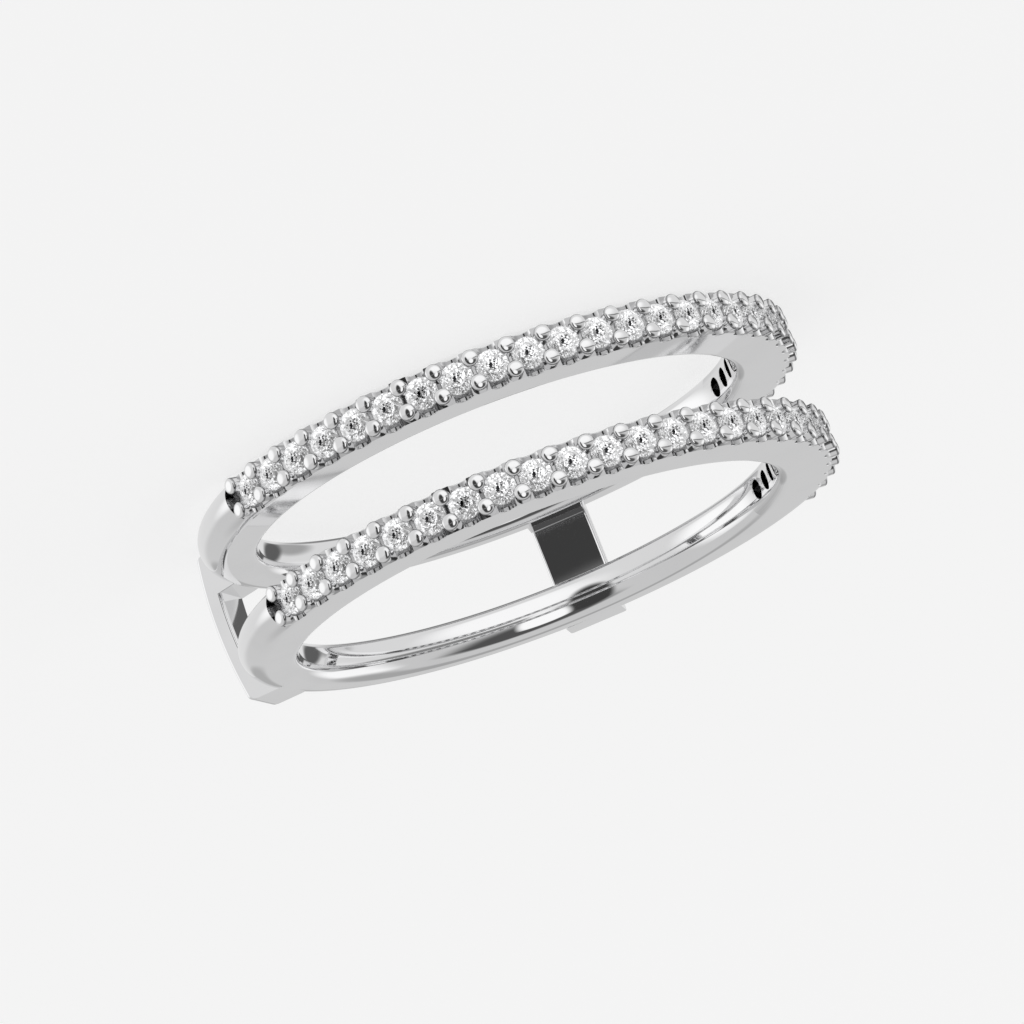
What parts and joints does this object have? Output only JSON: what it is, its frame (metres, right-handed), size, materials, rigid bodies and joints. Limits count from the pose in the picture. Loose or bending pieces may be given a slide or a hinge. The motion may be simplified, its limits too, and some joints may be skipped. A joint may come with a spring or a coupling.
{
  "type": "ring guard enhancer",
  "caption": "Polished ring guard: twin half-eternity bands of shared-prong stones, side by side with a gap between them, joined low down by bridge bars.",
  "frame": {"origin": "on the finger axis, midway between the two bands", "axes": "+Z along the finger axis, through the open middle of both bands; the middle of each row of stones is on the -Y side; the ring lies on its side, on the face at the lowest Z"},
  "size_m": [0.0222, 0.0212, 0.0054],
  "materials": {
    "white_gold": "high polish",
    "diamond": "brilliant cut, clear"
  },
  "bodies": {
    "root": {"mounting": "white_gold", "upper_stones": "diamond", "lower_stones": "diamond"}
  },
  "joints": []
}
